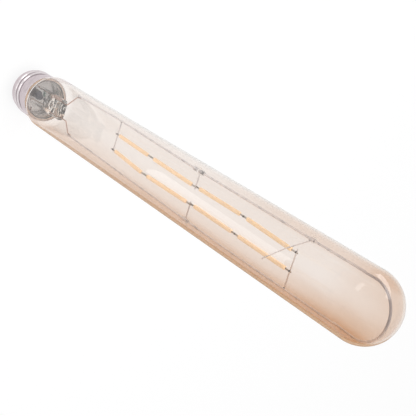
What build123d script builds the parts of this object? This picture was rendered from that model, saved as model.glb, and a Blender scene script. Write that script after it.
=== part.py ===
from build123d import *
import os
from math import atan2, sqrt, tan

# LED filament lamp with a long tubular glass and an E27 screw cap.
# Millimetres. The lamp stands on its centre contact: the origin is the middle of the contact's
# end face, and +Z runs along the lamp to the top of the dome.
# +X points from the axis to the long frame wire, and -Y is the side that faces the viewer.

# Glass envelope
lamp_length = 300.0
glass_diameter = 30.0
glass_wall = 0.9
neck_clearance = 0.4
neck_end_z = 12.8
shoulder_start_z = 25.6
shoulder_end_z = 30.4
shoulder_round_radius = 4.0

# Screw cap, size E27
cap_height = 25.0
thread_crest_diameter = 26.3
thread_depth = 0.9
thread_pitch = 3.629
thread_start_z = 8.0
thread_end_z = 16.6
thread_crest_width = 1.0
thread_base_width = 2.5
thread_sink = 0.15
skirt_margin = 0.05
skirt_start_z = 18.2
skirt_step = 1.0
cap_sheet = 0.35
lip_z = 6.0
lip_width = 1.7
cement_height = 3.6
cement_inset = 0.4

# Insulator and centre contact
contact_diameter = 9.6
contact_thickness = 1.0
contact_edge = 0.35
shank_diameter = 2.4
shank_rise = 0.6
insulator_rim = 1.1
insulator_floor_z = 7.0
collar_wall = 1.4

# Driver board inside the cap
board_thickness = 1.0
board_z = 9.5
capacitor_diameter = 5.0
capacitor_height = 6.8
capacitor_groove = 0.3
chip_size = (4.9, 3.9, 1.3)
chip_y = -6.0
rectifier_size = (4.7, 3.8, 1.4)
rectifier_y = -5.2
resistor_diameter = 1.8
resistor_length = 4.2
resistor_y = 7.3
neutral_pad_x = 8.6
hookup_radius = 0.35

# Glass stem
stem_wall = 0.8
stem_diameter = 11.2
flare_radius = 5.0
tube_top_z = 33.0
press_start_z = 37.5
press_top_z = 46.0
press_width = 11.6
press_depth = 4.6
press_edge = 1.2
exhaust_diameter = 4.0
exhaust_bore = 2.4
exhaust_tip_z = 24.0
blow_hole_z = 40.0
blow_hole_diameter = 1.5

# Stout frame wires; each inset runs from the inside of the glass to the wire's axis
frame_wire_radius = 0.5
frame_bottom_z = 57.5
long_foot_inset = 3.9
long_bow_inset = 1.1
long_bow_z = 200.0
long_side_inset = 1.0
return_side_inset = 3.2
joint_inset = 3.1
short_foot_inset = 2.2
short_bow_inset = 1.9
short_bow_z = 100.0
bend_to_glass = 1.1
bend_ease = 0.25
bow_radius = 60.0

# Thin wires
lead_wire_radius = 0.28
lead_spacing = 8.1
short_lead_rise = 3.0
long_lead_rise = 6.5
lead_overlap = 3.0
lead_bend = 1.4
cross_wire_radius = 0.3
cross_start_y = 0.25
cross_end_y = 0.3
wire_tail = 0.9
brace_wire_radius = 0.25
brace_end_x = 1.7
brace_drop = 9.2
brace_sag = 0.8
brace_bend = 14.0
weld_gap = 0.02

# Filament rows: a is on the side of the short wire, b on the side of the long wire
filament_length = 38.0
tab_overlap = 2.6
tab_length = 3.9
tab_width = 0.8
tab_thickness = 0.25
coat_width = 1.8
coat_depth = 1.5
coat_round = 0.5
row_start_z = 103.4
row_x = {"a": (-5.3, -5.3, -3.9, -4.0, -3.1), "b": (2.8, 3.5, 4.5, 4.1, 5.0)}
row_bow = {"a": (-2.3, 0.4), "b": (-3.1, -1.2)}

# Glass beads
joint_bead_length = 8.2
joint_bead_diameter = 3.2
wire_end_gap = 1.2
support_bead_length = 4.4
support_bead_diameter = 2.8
brace_bead_z = 251.0
brace_bead_length = 3.4
brace_bead_diameter = 2.4
bead_end = 0.35
seal_gap = 0.02

# Values worked out from the sizes above
glass_radius = glass_diameter / 2
inner_radius = glass_radius - glass_wall
dome_centre_z = lamp_length - glass_radius
crest_radius = thread_crest_diameter / 2
root_radius = crest_radius - thread_depth
skirt_radius = crest_radius + skirt_margin
shell_bore = root_radius - cap_sheet
neck_radius = shell_bore - neck_clearance
lip_hole = root_radius - lip_width
stem_radius = stem_diameter / 2
flare_z = neck_end_z - stem_wall
board_top_z = board_z + board_thickness
board_radius = shell_bore - seal_gap
lead_x = lead_spacing / 2
long_foot_x = inner_radius - long_foot_inset
long_bow_x = inner_radius - long_bow_inset
long_side_x = inner_radius - long_side_inset
return_side_x = inner_radius - return_side_inset
short_foot_x = inner_radius - short_foot_inset
short_bow_x = inner_radius - short_bow_inset
joint_x = inner_radius - joint_inset
bend_z = lamp_length - glass_wall - bend_to_glass - frame_wire_radius
bend_radius = (long_side_x + return_side_x) / 2 - bend_ease
filament_pitch = filament_length - tab_overlap
joint_z = [row_start_z + k * filament_pitch for k in range(5)]
support_z = joint_z[2]
tab_seat = cross_wire_radius + weld_gap + tab_thickness / 2

os.makedirs("parts", exist_ok=True)


def finish(builder, name):
    """Label a finished piece and write it."""
    builder.part.label = name
    export_step(builder.part, f"parts/{name}.step")


# Glass envelope, blown in one piece: neck, rounded shoulder, tube and dome

def envelope_outline(inset, bottom):
    """Half section of the bulb's form, drawn `inset` inside its outer surface."""
    slope = atan2(glass_radius - neck_radius, shoulder_end_z - shoulder_start_z)
    shift = inset * tan(slope / 2)
    neck = neck_radius - inset
    body = glass_radius - inset
    with BuildSketch(Plane.XZ) as outline:
        with BuildLine():
            FilletPolyline(
                (neck, bottom),
                (neck, shoulder_start_z + shift),
                (body, shoulder_end_z + shift),
                (body, dome_centre_z),
                radius=[0, shoulder_round_radius - inset],
            )
            CenterArc((0, dome_centre_z), body, 0, 90)
            Polyline((0, dome_centre_z + body), (0, bottom), (neck, bottom))
        make_face()
    return outline


with BuildPart() as glass_envelope:
    add(envelope_outline(0, neck_end_z).sketch)
    revolve(axis=Axis.Z)
    add(envelope_outline(glass_wall, neck_end_z - glass_wall).sketch)
    revolve(axis=Axis.Z, mode=Mode.SUBTRACT)
finish(glass_envelope, "glass_envelope")


# Glass stem: flare, tube, flat press and exhaust tube, melted into one piece

def stem_outline(inset, top):
    """Half section of the flare and tube, drawn `inset` inside the side that faces the bulb."""
    tube = stem_radius - inset
    rim_z = neck_end_z - inset
    with BuildSketch(Plane.XZ) as outline:
        with BuildLine():
            FilletPolyline(
                (neck_radius, rim_z),
                (tube, rim_z),
                (tube, tube_top_z),
                radius=flare_radius + inset,
            )
            Polyline(
                (tube, tube_top_z),
                (press_depth / 2 - inset, top),
                (0, top),
                (0, flare_z - inset),
                (neck_radius, flare_z - inset),
                (neck_radius, rim_z),
            )
        make_face()
    return outline


with BuildPart() as glass_stem:
    add(stem_outline(0, press_start_z).sketch)
    revolve(axis=Axis.Z)
    with BuildSketch(Plane.XY.offset(tube_top_z)):
        RectangleRounded(press_width, press_depth, press_edge)
    extrude(amount=press_top_z - tube_top_z)
    add(stem_outline(stem_wall, press_start_z - stem_wall).sketch)
    revolve(axis=Axis.Z, mode=Mode.SUBTRACT)
    with BuildSketch(Plane.XZ):
        with BuildLine():
            tube = exhaust_diameter / 2
            Polyline(
                (0, exhaust_tip_z),
                (tube / 2, exhaust_tip_z),
                (tube, exhaust_tip_z + tube),
                (tube, press_start_z),
                (0, press_start_z),
                close=True,
            )
        make_face()
    revolve(axis=Axis.Z)
    with BuildSketch(Plane.XY.offset(exhaust_tip_z + stem_wall)):
        Circle(exhaust_bore / 2)
    extrude(amount=blow_hole_z - exhaust_tip_z - stem_wall, mode=Mode.SUBTRACT)
    with BuildSketch(Plane.XZ):
        with Locations((0, blow_hole_z)):
            Circle(blow_hole_diameter / 2)
    extrude(amount=press_depth, mode=Mode.SUBTRACT)
    with BuildSketch(Plane.XY.offset(tube_top_z - stem_wall)):
        with Locations((lead_x, 0), (-lead_x, 0)):
            Circle(lead_wire_radius + seal_gap)
    extrude(amount=press_top_z - tube_top_z + 2 * stem_wall, mode=Mode.SUBTRACT)
finish(glass_stem, "glass_stem")


# Screw cap shell, rolled from thin sheet: turned-in lip, thread, step and skirt

def thread_ridge(inset):
    """Helical ridge of the rolled thread, drawn `inset` inside the sheet's outer surface."""
    foot = root_radius - inset
    lift = crest_radius - root_radius
    narrow = inset / 2
    with BuildPart() as ridge:
        with BuildLine() as path:
            Helix(thread_pitch, thread_end_z - thread_start_z, foot, center=(0, 0, thread_start_z))
        with BuildSketch(Plane(path.line @ 0, x_dir=(1, 0, 0), z_dir=(0, 1, 0))):
            with BuildLine():
                Polyline(
                    (-thread_sink, narrow - thread_base_width / 2),
                    (lift, narrow - thread_crest_width / 2),
                    (lift, thread_crest_width / 2 - narrow),
                    (-thread_sink, thread_base_width / 2 - narrow),
                    close=True,
                )
            make_face()
        sweep(path=path.line, is_frenet=True)
    return ridge


def cap_form(inset, bottom, top):
    """Solid form of the cap without its thread, drawn `inset` inside the outer surface."""
    wall = root_radius - inset
    skirt = skirt_radius - inset
    with BuildPart() as form:
        with BuildSketch(Plane.XZ):
            with BuildLine():
                Polyline(
                    (0, bottom),
                    (wall, bottom),
                    (wall, skirt_start_z),
                    (skirt, skirt_start_z + skirt_step),
                    (skirt, top),
                    (0, top),
                    close=True,
                )
            make_face()
        revolve(axis=Axis.Z)
    return form


outer_form = cap_form(0, lip_z, cap_height)
outer_ridge = thread_ridge(0)
inner_form = cap_form(cap_sheet, lip_z + cap_sheet, cap_height + cap_sheet)
inner_ridge = thread_ridge(cap_sheet)

with BuildPart() as cap_shell:
    add(outer_form.part)
    add(outer_ridge.part)
    add(inner_form.part, mode=Mode.SUBTRACT)
    add(inner_ridge.part, mode=Mode.SUBTRACT)
    with BuildSketch(Plane.XY.offset(lip_z)):
        Circle(lip_hole)
    extrude(amount=cap_sheet, mode=Mode.SUBTRACT)
finish(cap_shell, "cap_shell")


# Cement ring between the skirt and the neck

cement_top_z = cap_height - cement_inset
with BuildPart() as basing_cement:
    with BuildSketch(Plane.XY.offset(cement_top_z - cement_height)):
        Circle(skirt_radius - cap_sheet - seal_gap)
        Circle(neck_radius + seal_gap, mode=Mode.SUBTRACT)
    extrude(amount=cement_height)
finish(basing_cement, "basing_cement")


# Glass insulator: cone outside, collar that seats the board inside

with BuildPart() as cap_insulator:
    with BuildSketch(Plane.XZ):
        with BuildLine():
            Polyline(
                (shank_diameter / 2, contact_thickness),
                (contact_diameter / 2 + insulator_rim, contact_thickness),
                (lip_hole, lip_z - cap_sheet),
                (lip_hole, lip_z + cap_sheet),
                (shell_bore, lip_z + cap_sheet),
                (shell_bore, board_z),
                (shell_bore - collar_wall, board_z),
                (shell_bore - collar_wall, insulator_floor_z),
                (shank_diameter / 2, insulator_floor_z),
                close=True,
            )
        make_face()
    revolve(axis=Axis.Z)
finish(cap_insulator, "cap_insulator")


# Centre contact: a riveted disc whose shank comes up through the insulator

shank_top_z = insulator_floor_z + shank_rise
with BuildPart() as centre_contact:
    with BuildSketch(Plane.XY):
        Circle(contact_diameter / 2)
    extrude(amount=contact_thickness)
    chamfer(edges().filter_by(GeomType.CIRCLE).sort_by(Axis.Z)[0], contact_edge)
    with BuildSketch(Plane.XY.offset(contact_thickness)):
        Circle(shank_diameter / 2)
    extrude(amount=shank_top_z - contact_thickness)
finish(centre_contact, "centre_contact")


# Driver board, a round disc on the insulator's collar

with BuildPart() as driver_board:
    with BuildSketch(Plane.XY.offset(board_z)):
        Circle(board_radius)
        with Locations((lead_x, 0), (-lead_x, 0)):
            Circle(lead_wire_radius + seal_gap, mode=Mode.SUBTRACT)
    extrude(amount=board_thickness)
finish(driver_board, "driver_board")


# Parts on the board

with BuildPart() as smoothing_capacitor:
    with BuildSketch(Plane.XZ):
        with BuildLine():
            side = capacitor_diameter / 2
            top = board_top_z + capacitor_height
            waist_z = board_top_z + 2 * capacitor_groove
            Polyline(
                (0, board_top_z),
                (side, board_top_z),
                (side, waist_z),
                (side - capacitor_groove, waist_z + capacitor_groove),
                (side, waist_z + 2 * capacitor_groove),
                (side, top - capacitor_groove),
                (side - capacitor_groove, top),
                (0, top),
                close=True,
            )
        make_face()
    revolve(axis=Axis.Z)
finish(smoothing_capacitor, "smoothing_capacitor")


def flat_package(size, y, seat_z, side, legs):
    """Moulded electronic part with gull-wing legs; side is 1 above the board and -1 below it."""
    length, width, height = size
    leg = height / 4
    with BuildPart() as package:
        with BuildSketch(Plane.XY.offset(seat_z + side * leg / 2)):
            with Locations((0, y)):
                Rectangle(length, width)
        extrude(amount=side * (height - leg / 2))
        with BuildSketch(Plane.XY.offset(seat_z)):
            with Locations((0, y)):
                with GridLocations(length / legs, width + leg, legs, 2):
                    Rectangle(length / legs / 3, 3 * leg)
        extrude(amount=side * leg)
    return package


driver_chip = flat_package(chip_size, chip_y, board_top_z, 1, 4)
finish(driver_chip, "driver_chip")

bridge_rectifier = flat_package(rectifier_size, rectifier_y, board_z, -1, 2)
finish(bridge_rectifier, "bridge_rectifier")

with BuildPart() as fuse_resistor:
    with BuildSketch(Plane.YZ.offset(-resistor_length / 2)):
        with Locations((resistor_y, board_top_z + resistor_diameter / 2)):
            Circle(resistor_diameter / 2)
    extrude(amount=resistor_length)
finish(fuse_resistor, "fuse_resistor")


# Wires

def wire(points, radius, bend):
    """Round wire through the points, its corners bent to the given radius or list of radii."""
    with BuildPart() as piece:
        with BuildLine() as path:
            if len(points) > 2:
                FilletPolyline(*points, radius=bend)
            else:
                Line(*points)
        with BuildSketch(path.line ^ 0):
            Circle(radius)
        sweep(path=path.line)
    return piece


def between(low, high, z):
    """X where a straight run from low to high, each (x, z), passes the height z."""
    return low[0] + (high[0] - low[0]) * (z - low[1]) / (high[1] - low[1])


def long_run(z):
    """X of the long frame wire's rising side at the height z, below or above its slight bow."""
    if z < long_bow_z:
        return between(long_low, long_mid, z)
    return between(long_mid, long_high, z)


def short_run(z):
    """X of the short frame wire at the height z, below or above its slight bow."""
    if z < short_bow_z:
        return between(short_low, short_mid, z)
    return between(short_mid, short_high, z)


# The live wire joins the contact's shank to the board, and the neutral wire lies on the board
live_wire = wire([(0, 0, shank_top_z), (0, 0, board_z)], hookup_radius, 0)
finish(live_wire, "live_wire")

neutral_z = board_top_z + hookup_radius
neutral_wire = wire([(neutral_pad_x, 0, neutral_z), (shell_bore, 0, neutral_z)], hookup_radius, 0)
finish(neutral_wire, "neutral_wire")

long_low = (long_foot_x, frame_bottom_z)
long_mid = (long_bow_x, long_bow_z)
long_high = (long_side_x, bend_z)
return_high = (-return_side_x, bend_z)
joint_half = wire_end_gap / 2
return_low = (-joint_x, support_z - joint_half)
short_low = (-short_foot_x, frame_bottom_z)
short_mid = (-short_bow_x, short_bow_z)
short_high = (-joint_x, support_z - wire_end_gap - joint_half)

long_path = [(x, 0, z) for x, z in (long_low, long_mid, long_high, return_high, return_low)]
long_bends = [bow_radius, bend_radius, bend_radius]
short_path = [(x, 0, z) for x, z in (short_low, short_mid, short_high)]

frame_wire_long = wire(long_path, frame_wire_radius, long_bends)
finish(frame_wire_long, "frame_wire_long")

frame_wire_short = wire(short_path, frame_wire_radius, bow_radius)
finish(frame_wire_short, "frame_wire_short")


def lead(foot, side, rise):
    """Thin wire from the board through the press to the inner side of a frame wire's foot.

    foot is the frame wire's foot and the next point of its run, each (x, z); side is 1 or -1.
    """
    beside = frame_wire_radius + lead_wire_radius + weld_gap
    start_x = side * between(*foot, frame_bottom_z) - beside
    end_x = side * between(*foot, frame_bottom_z + lead_overlap) - beside
    return wire(
        [
            (side * lead_x, 0, board_z),
            (side * lead_x, 0, press_top_z + rise),
            (side * start_x, 0, frame_bottom_z),
            (side * end_x, 0, frame_bottom_z + lead_overlap),
        ],
        lead_wire_radius,
        lead_bend,
    )


lead_wire_long = lead((long_low, long_mid), 1, long_lead_rise)
finish(lead_wire_long, "lead_wire_long")

lead_wire_short = lead((short_low, short_mid), -1, short_lead_rise)
finish(lead_wire_short, "lead_wire_short")

# Each cross wire starts on its stout wire and ends just past the last tab that it carries
weld_reach = frame_wire_radius + weld_gap
tail_reach = tab_width / 2 + wire_tail
start_x = short_run(joint_z[0]) + weld_reach
cross_wire_start = wire(
    [(start_x, cross_start_y, joint_z[0]), (row_x["b"][0] + tail_reach, cross_start_y, joint_z[0])],
    cross_wire_radius,
    0,
)
finish(cross_wire_start, "cross_wire_start")

end_x = long_run(joint_z[4]) - weld_reach
cross_wire_end = wire(
    [(end_x, cross_end_y, joint_z[4]), (row_x["a"][4] - tail_reach, cross_end_y, joint_z[4])],
    cross_wire_radius,
    0,
)
finish(cross_wire_end, "cross_wire_end")

# The support wires start inside their beads, clear of the stout wires
support_reach = frame_wire_radius + cross_wire_radius
support_x = long_run(support_z)
support_wire_a = wire(
    [(support_reach - joint_x, 0, support_z), (row_x["a"][2] + tail_reach, 0, support_z)],
    cross_wire_radius,
    0,
)
finish(support_wire_a, "support_wire_a")

support_wire_b = wire(
    [(support_x - support_reach, 0, support_z), (row_x["b"][2] - tail_reach, 0, support_z)],
    cross_wire_radius,
    0,
)
finish(support_wire_b, "support_wire_b")

# The brace springs from its bead to the front of the glass
brace_centre = Vector(between(return_high, return_low, brace_bead_z), 0, brace_bead_z)
brace_end_y = -sqrt((inner_radius - brace_wire_radius) ** 2 - brace_end_x**2)
brace_tip = Vector(brace_end_x, brace_end_y, brace_bead_z - brace_drop)
brace_start = frame_wire_radius + 2 * brace_wire_radius
brace_root = brace_centre + (brace_tip - brace_centre).normalized() * brace_start
brace_middle = (brace_root + brace_tip) * 0.5 - Vector(0, 0, brace_sag)
brace_points = [brace_root, brace_middle, brace_tip]
brace_wire = wire(brace_points, brace_wire_radius, brace_bend)
finish(brace_wire, "brace_wire")


# Glass beads: a barrel round the wires, with a bore along each wire it holds

def bead(low, high, z, length, diameter, cutters):
    """Barrel on the run from low to high at height z, less the wires melted into it."""
    centre = Vector(between(low, high, z), 0, z)
    run = Vector(high[0] - low[0], 0, high[1] - low[1])
    end_radius = frame_wire_radius + bead_end
    with BuildPart() as piece:
        with BuildSketch(Plane.XZ):
            with BuildLine():
                ThreePointArc((end_radius, -length / 2), (diameter / 2, 0), (end_radius, length / 2))
                Polyline((end_radius, length / 2), (0, length / 2), (0, -length / 2), (end_radius, -length / 2))
            make_face()
        revolve(axis=Axis.Z)
    placed = Plane(centre, x_dir=(0, 1, 0), z_dir=run) * piece.part
    with BuildPart() as finished:
        add(placed)
        for cutter in cutters:
            add(cutter.part, mode=Mode.SUBTRACT)
    return finished


bore_radius = frame_wire_radius + seal_gap
support_bore = cross_wire_radius + seal_gap
long_bore = wire(long_path, bore_radius, long_bends)
short_bore = wire(short_path, bore_radius, bow_radius)
support_a_bore = wire(
    [(support_reach - joint_x, 0, support_z), (row_x["a"][2], 0, support_z)], support_bore, 0
)
support_b_bore = wire(
    [(support_x - support_reach, 0, support_z), (row_x["b"][2], 0, support_z)], support_bore, 0
)
brace_bore = wire(brace_points, brace_wire_radius + seal_gap, brace_bend)

joint_middle_z = support_z - wire_end_gap
bead_joint = bead(
    return_low,
    return_high,
    joint_middle_z,
    joint_bead_length,
    joint_bead_diameter,
    [long_bore, short_bore, support_a_bore],
)
finish(bead_joint, "bead_joint")

bead_support = bead(
    long_low, long_mid, support_z, support_bead_length, support_bead_diameter, [long_bore, support_b_bore]
)
finish(bead_support, "bead_support")

bead_brace = bead(
    return_low, return_high, brace_bead_z, brace_bead_length, brace_bead_diameter, [long_bore, brace_bore]
)
finish(bead_brace, "bead_brace")


# Filaments: eight metal strips with end tabs, each in its own yellow coat

def strip_plane(start, end):
    """Plane along one filament: x from joint to joint, y to the back, z across its width."""
    along = Vector(end[0] - start[0], 0, end[1] - start[1]).normalized()
    return Plane((start[0], 0, start[1]), x_dir=along, z_dir=(-along.Z, 0, along.X))


def strip(start, end, start_y, end_y):
    """Flat strip whose tabs lie square to Y and whose middle slopes from start_y to end_y."""
    length = sqrt((end[0] - start[0]) ** 2 + (end[1] - start[1]) ** 2)
    first = -tab_overlap / 2
    last = length + tab_overlap / 2
    half = tab_thickness / 2
    centre_line = [
        (first, start_y),
        (first + tab_length, start_y),
        (last - tab_length, end_y),
        (last, end_y),
    ]
    with BuildPart() as piece:
        with BuildSketch(strip_plane(start, end)):
            with BuildLine():
                Polyline(
                    *[(x, y - half) for x, y in centre_line],
                    *[(x, y + half) for x, y in reversed(centre_line)],
                    close=True,
                )
            make_face()
        extrude(amount=tab_width / 2, both=True)
    return piece


def coat(start, end, start_y, end_y, core):
    """Rounded bar round the middle of a strip."""
    plane = strip_plane(start, end)
    length = sqrt((end[0] - start[0]) ** 2 + (end[1] - start[1]) ** 2)
    inner = tab_length - tab_overlap / 2
    low = plane.from_local_coords((inner, start_y, 0))
    high = plane.from_local_coords((length - inner, end_y, 0))
    with BuildPart() as piece:
        with BuildSketch(Plane(low, x_dir=plane.z_dir, z_dir=high - low)):
            RectangleRounded(coat_width, coat_depth, coat_round)
        extrude(amount=(high - low).length)
        add(core.part, mode=Mode.SUBTRACT)
    return piece


for row in ("a", "b"):
    joints = list(zip(row_x[row], joint_z))
    stack = tab_thickness / 2
    first_bow, second_bow = row_bow[row]
    # Y of each filament's first and last tab: in front of the cross wires, stacked at the free
    # joints, and on either side of the support wire
    tab_y = (
        (cross_start_y - tab_seat, first_bow - stack),
        (first_bow + stack, -tab_seat),
        (tab_seat, second_bow + stack),
        (second_bow - stack, cross_end_y - tab_seat),
    )
    for k in range(4):
        start, end = joints[k], joints[k + 1]
        core = strip(start, end, *tab_y[k])
        finish(core, f"strip_{row}{k + 1}")
        finish(coat(start, end, *tab_y[k], core), f"filament_{row}{k + 1}")
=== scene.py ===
from math import atan2, cos, pi, radians, sin, sqrt, tan, tau

import bpy
from bpy.props import FloatProperty, FloatVectorProperty, IntProperty, PointerProperty
from mathutils import Matrix, Quaternion, Vector, noise


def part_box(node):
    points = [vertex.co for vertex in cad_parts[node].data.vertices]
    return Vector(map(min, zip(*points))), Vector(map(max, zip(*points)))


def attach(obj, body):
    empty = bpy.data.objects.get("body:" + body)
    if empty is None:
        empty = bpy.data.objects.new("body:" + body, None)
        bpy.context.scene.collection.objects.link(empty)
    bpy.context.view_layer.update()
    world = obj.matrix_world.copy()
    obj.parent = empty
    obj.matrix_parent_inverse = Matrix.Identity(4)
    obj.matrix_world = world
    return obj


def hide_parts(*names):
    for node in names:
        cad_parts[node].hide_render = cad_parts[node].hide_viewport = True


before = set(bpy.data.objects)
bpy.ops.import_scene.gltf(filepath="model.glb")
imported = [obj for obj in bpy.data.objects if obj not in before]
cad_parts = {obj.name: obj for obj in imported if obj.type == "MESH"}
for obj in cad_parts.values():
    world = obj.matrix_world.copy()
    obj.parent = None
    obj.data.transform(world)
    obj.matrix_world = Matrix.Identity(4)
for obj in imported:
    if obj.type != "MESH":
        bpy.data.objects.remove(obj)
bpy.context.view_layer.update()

bl_info = {
    "name": "Filament Lamp",
    "version": (1, 0, 0),
    "blender": (4, 5, 0),
    "location": "View3D > Sidebar > Lamp",
    "description": "Builds the visible pieces of a long tubular filament lamp over its packed solids",
    "category": "Object",
}

MM = 0.001


# Sizes and colours that a user would change

def length(name, description, default, digits=2):
    """Length property in metres, shown with its unit."""
    shown = {"precision": digits, "unit": "LENGTH", "subtype": "DISTANCE"}
    return FloatProperty(name=name, description=description, default=default, min=0.0, **shown)


def colour(name, description, default):
    """Linear colour property."""
    return FloatVectorProperty(
        name=name, description=description, default=default, size=3, min=0.0, max=1.0, subtype="COLOR"
    )


glass_low, glass_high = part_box("glass_envelope")


class LampSizes(bpy.types.PropertyGroup):
    """Sizes of the visible pieces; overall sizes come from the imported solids."""

    glass_radius: length("Glass radius", "Outside radius of the glass tube", min(glass_high.x, -glass_low.x))
    glass_top: length("Lamp height", "Top of the dome above the contact", glass_high.z)
    glass_wall: length("Glass wall", "Thickness of the blown glass", 0.9 * MM)
    neck_radius: length("Neck radius", "Outside radius of the glass neck", 11.5 * MM)
    thread_pitch: length("Thread pitch", "Rise of the cap's thread in one turn", 3.629 * MM)
    thread_depth: length("Thread depth", "Depth of the rolled thread", 0.9 * MM)
    cap_sheet: length("Cap sheet", "Thickness of the cap's sheet metal", 0.35 * MM)
    frame_wire: length("Frame wire radius", "Radius of the two stout wires", 0.5 * MM)
    cross_wire: length("Cross wire radius", "Radius of the cross and support wires", 0.3 * MM)
    lead_wire: length("Lead wire radius", "Radius of the wires through the stem", 0.28 * MM)
    brace_wire: length("Brace wire radius", "Radius of the springy brace", 0.25 * MM)
    coat_width: length("Filament width", "Width of the yellow coat", 1.8 * MM)
    coat_depth: length("Filament depth", "Depth of the yellow coat", 1.5 * MM)
    weld_radius: length("Weld radius", "Radius of a spot weld", 0.5 * MM)
    around: IntProperty(name="Steps around", description="Steps round the glass and the cap", default=128, min=24)
    seed: IntProperty(name="Seed", description="Seed of the small irregularities", default=7, min=0)


class LampFinish(bpy.types.PropertyGroup):
    """Colours of the finishes."""

    glass: colour("Glass", "Tint of the tube where its gold is thin", (0.962, 0.937, 0.918))
    # Gold also colours the painted shade on one side of the tube and along its edges.
    gold: colour("Gold", "Tint of the tube where its gold is deep", (0.76, 0.53, 0.36))
    metal: colour("Cap metal", "Rolled metal of the cap", (0.76, 0.71, 0.72))
    wire: colour("Frame wire", "Nickel of the stout wires", (0.86, 0.83, 0.84))
    lead: colour("Lead wire", "Copper-coated wire", (0.62, 0.40, 0.32))
    coat: colour("Filament coat", "Yellow silicone of the filaments", (0.87, 0.63, 0.41))
    cement: colour("Cement", "Baked cement in the cap", (0.56, 0.44, 0.35))
    floor: colour("Floor", "Floor of the stage", (0.90, 0.90, 0.90))


# Node trees

class Graph:
    """A node tree under construction."""

    def __init__(self, tree):
        self.tree = tree

    def node(self, kind, **settings):
        """Adds a node and sets its own settings."""
        made = self.tree.nodes.new(kind)
        for key, value in settings.items():
            setattr(made, key, value)
        return made

    def put(self, socket, value):
        """Joins a socket to another one, or sets its value."""
        if isinstance(value, bpy.types.NodeSocket):
            self.tree.links.new(value, socket)
        else:
            socket.default_value = value

    def feed(self, made, **values):
        """Feeds a node's inputs by name, with _ for a space."""
        for key, value in values.items():
            self.put(made.inputs[key.replace("_", " ")], value)
        return made

    def fed(self, kind, **values):
        """Adds a node, feeds its inputs by name and returns its first result."""
        return self.feed(self.node(kind), **values).outputs[0]

    def sum(self, operation, *values, clamp=False):
        """One step of arithmetic; returns its result."""
        made = self.node("ShaderNodeMath", operation=operation, use_clamp=clamp)
        for socket, value in zip(made.inputs, values):
            self.put(socket, value)
        return made.outputs[0]

    def times(self, first, *others):
        """Product of values."""
        for other in others:
            first = self.sum("MULTIPLY", first, other)
        return first

    def plus(self, first, second):
        """Sum of two values."""
        return self.sum("ADD", first, second)

    def minus(self, first, second):
        """Difference of two values."""
        return self.sum("SUBTRACT", first, second)

    def spaced(self, operation, first, second=None):
        """One step of vector arithmetic; returns its result."""
        made = self.node("ShaderNodeVectorMath", operation=operation)
        self.put(made.inputs[0], first)
        if second is not None:
            self.put(made.inputs["Scale" if operation == "SCALE" else 1], second)
        return made.outputs["Value" if operation == "DISTANCE" else "Vector"]

    def smooth(self, value, low, high):
        """Eased step from 0 at low to 1 at high."""
        made = self.node("ShaderNodeMapRange", interpolation_type="SMOOTHSTEP")
        self.feed(made, Value=value, From_Min=low, From_Max=high)
        return made.outputs[0]

    def vector(self, x, y, z):
        """Vector from three values."""
        made = self.node("ShaderNodeCombineXYZ")
        for socket, value in zip(made.inputs, (x, y, z)):
            self.put(socket, value)
        return made.outputs[0]

    def parts(self, vector):
        """X, Y and Z of a vector."""
        made = self.node("ShaderNodeSeparateXYZ")
        self.put(made.inputs[0], vector)
        return made.outputs[0], made.outputs[1], made.outputs[2]

    def mixed(self, factor, first, second):
        """Mix of two colours."""
        made = self.node("ShaderNodeMix", data_type="RGBA")
        for index, value in ((0, factor), (6, first), (7, second)):
            self.put(made.inputs[index], value)
        return made.outputs[2]

    def blended(self, factor, first, second):
        """Mix of two shaders."""
        made = self.node("ShaderNodeMixShader")
        for socket, value in zip(made.inputs, (factor, first, second)):
            self.put(socket, value)
        return made.outputs[0]

    def show(self, result, part="Surface"):
        """Makes a shader the material's surface or volume."""
        self.put(self.tree.nodes["Material Output"].inputs[part], result)


def new_group(name, kind, inputs, outputs):
    """Empty node group with named sockets; returns its graph, the values given to it and its results."""
    tree = bpy.data.node_groups.new(name, kind)
    for label, socket, default in inputs:
        made = tree.interface.new_socket(label, in_out="INPUT", socket_type=socket)
        if default is not None:
            made.default_value = default
    for label, socket in outputs:
        tree.interface.new_socket(label, in_out="OUTPUT", socket_type=socket)
    graph = Graph(tree)
    return graph, graph.node("NodeGroupInput").outputs, graph.node("NodeGroupOutput").inputs


FLOAT = "NodeSocketFloat"
VECTOR = "NodeSocketVector"
COLOUR = "NodeSocketColor"
GEOMETRY = "NodeSocketGeometry"


def shape_group(name, inputs):
    """Geometry tree that takes and gives a shape; its last named input is the material."""
    sockets = [("Geometry", GEOMETRY, None), *inputs, ("Material", "NodeSocketMaterial", None)]
    return new_group(name, "GeometryNodeTree", sockets, [("Geometry", GEOMETRY)])


def close_shape(graph, given, result, shape):
    """Ends a geometry tree with real meshes and the piece's material; returns it."""
    realized = graph.fed("GeometryNodeRealizeInstances", Geometry=shape)
    painted = graph.fed("GeometryNodeSetMaterial", Geometry=realized, Material=given["Material"])
    graph.put(result["Geometry"], painted)
    return graph.tree


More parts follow.
